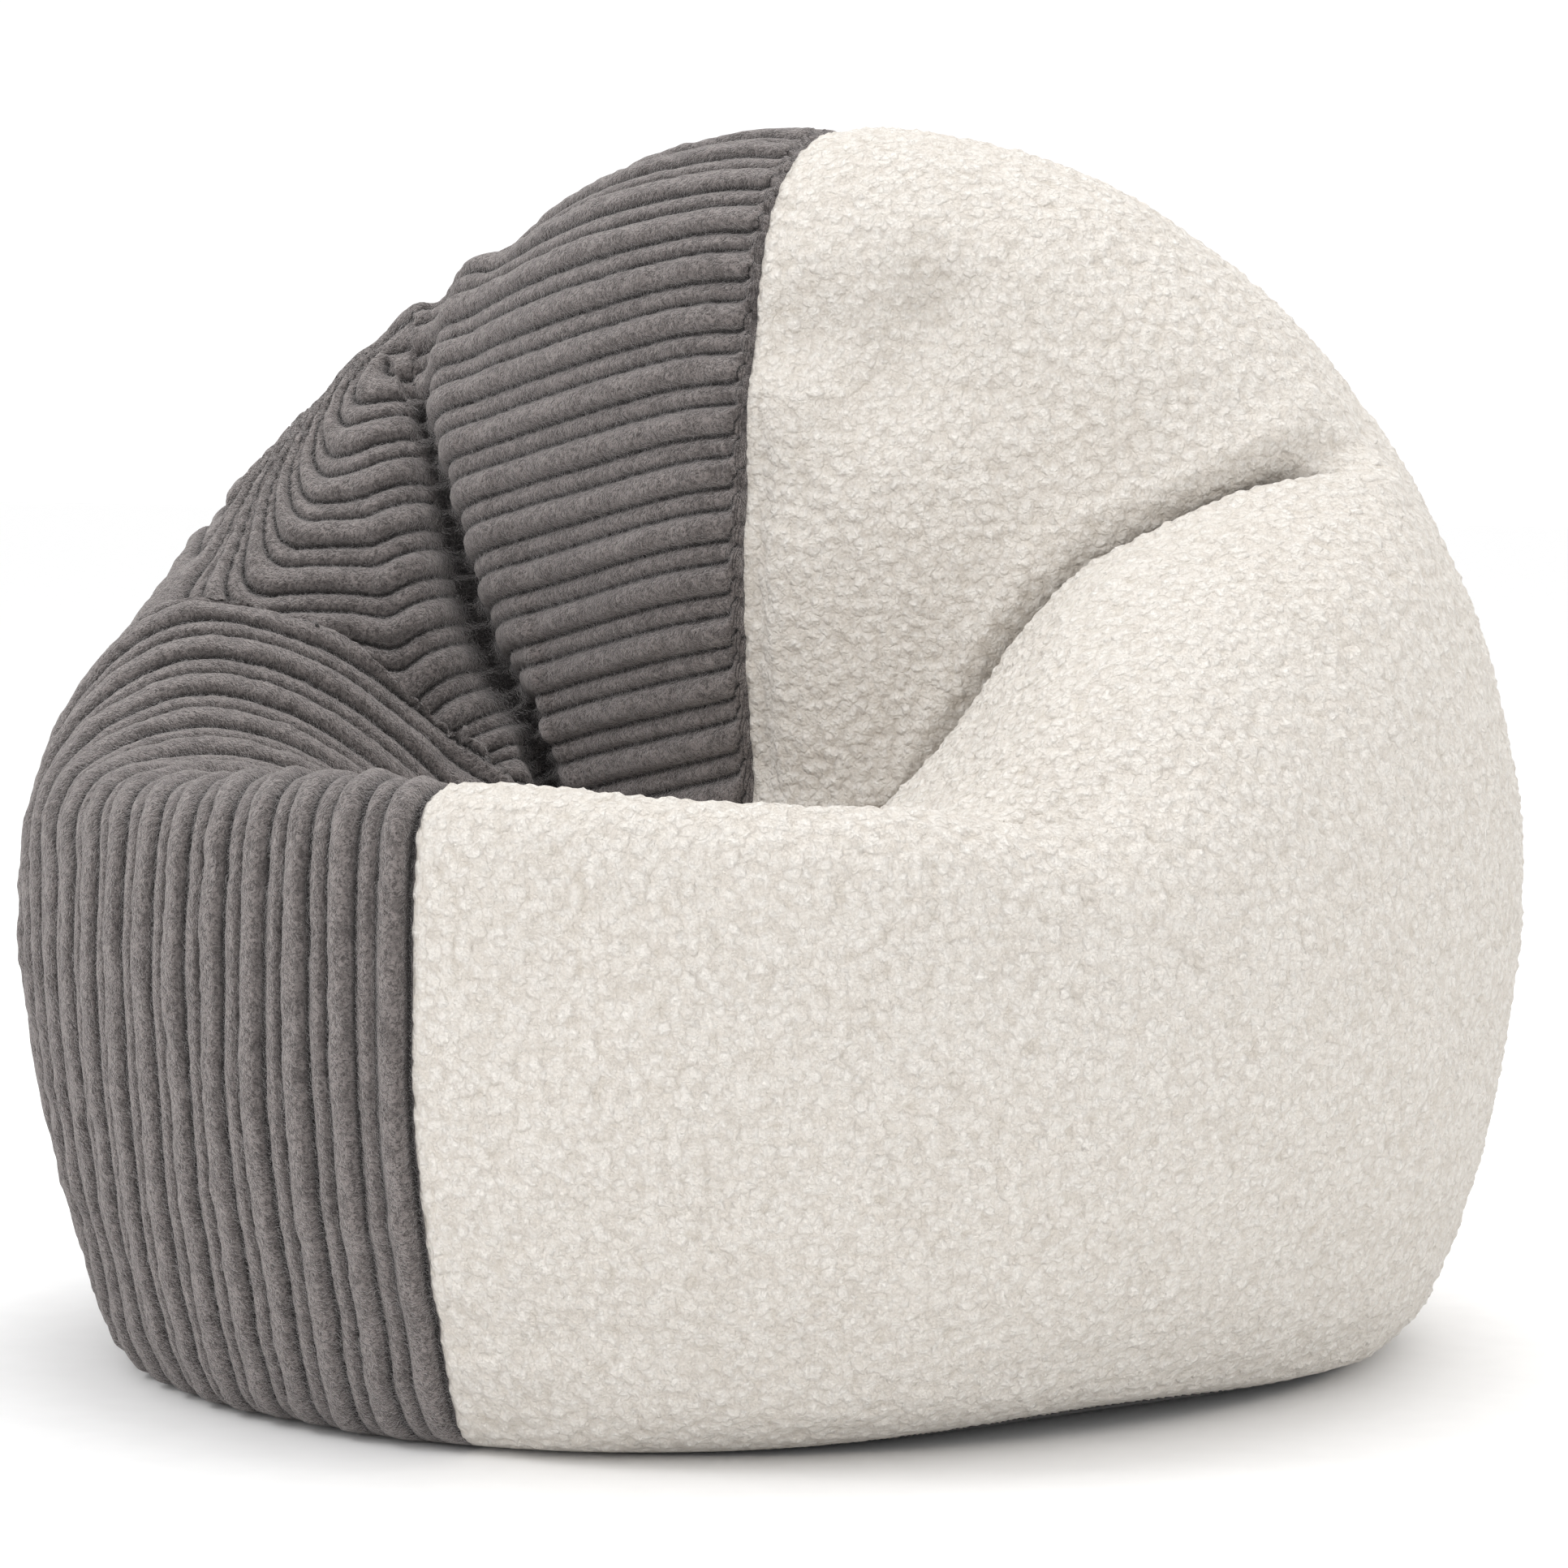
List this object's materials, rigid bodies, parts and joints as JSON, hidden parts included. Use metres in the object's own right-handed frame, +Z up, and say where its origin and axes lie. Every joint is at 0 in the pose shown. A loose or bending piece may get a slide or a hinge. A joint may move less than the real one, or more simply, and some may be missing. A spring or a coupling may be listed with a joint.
{
  "type": "bean bag chair",
  "caption": "Round bean bag chair with a bowl seat and a ball-like backrest, one half in wide-rib corduroy, the other in boucle fleece, with a zip in its base.",
  "frame": {"origin": "on the floor, under the middle of the bag's box", "axes": "+Z up, -Y the way a sitter faces, +X the fleece side; X = 0 is the middle plane with the long seam and the zip"},
  "size_m": [0.8998, 0.8998, 0.758],
  "materials": {
    "corduroy": "matte",
    "fleece": "matte",
    "base_cloth": "matte",
    "liner_cloth": "matte",
    "beads": "matte",
    "zip_tape": "matte",
    "zip_coil": "satin",
    "zip_metal": "satin"
  },
  "bodies": {
    "bag": {"corduroy_side_panel": "corduroy", "fleece_side_panel": "fleece", "base_panel_left": "base_cloth", "base_panel_right": "base_cloth", "liner_panel_left": "liner_cloth", "liner_panel_right": "liner_cloth", "bead_fill": "beads", "zip_tape_left": "zip_tape", "zip_tape_right": "zip_tape", "zip_coil_left": "zip_coil", "zip_coil_right": "zip_coil", "zip_end_stops": "zip_metal", "zip_front_stop": "zip_metal"},
    "slider": {"zip_slider": "zip_metal"}
  },
  "joints": [
    {"name": "zip_slide", "type": "slide", "parent": "bag", "child": "slider", "axis": [0, -1, 0], "range_m": [0, 0.499], "deforming": ["zip_coil_left", "zip_coil_right"]}
  ]
}
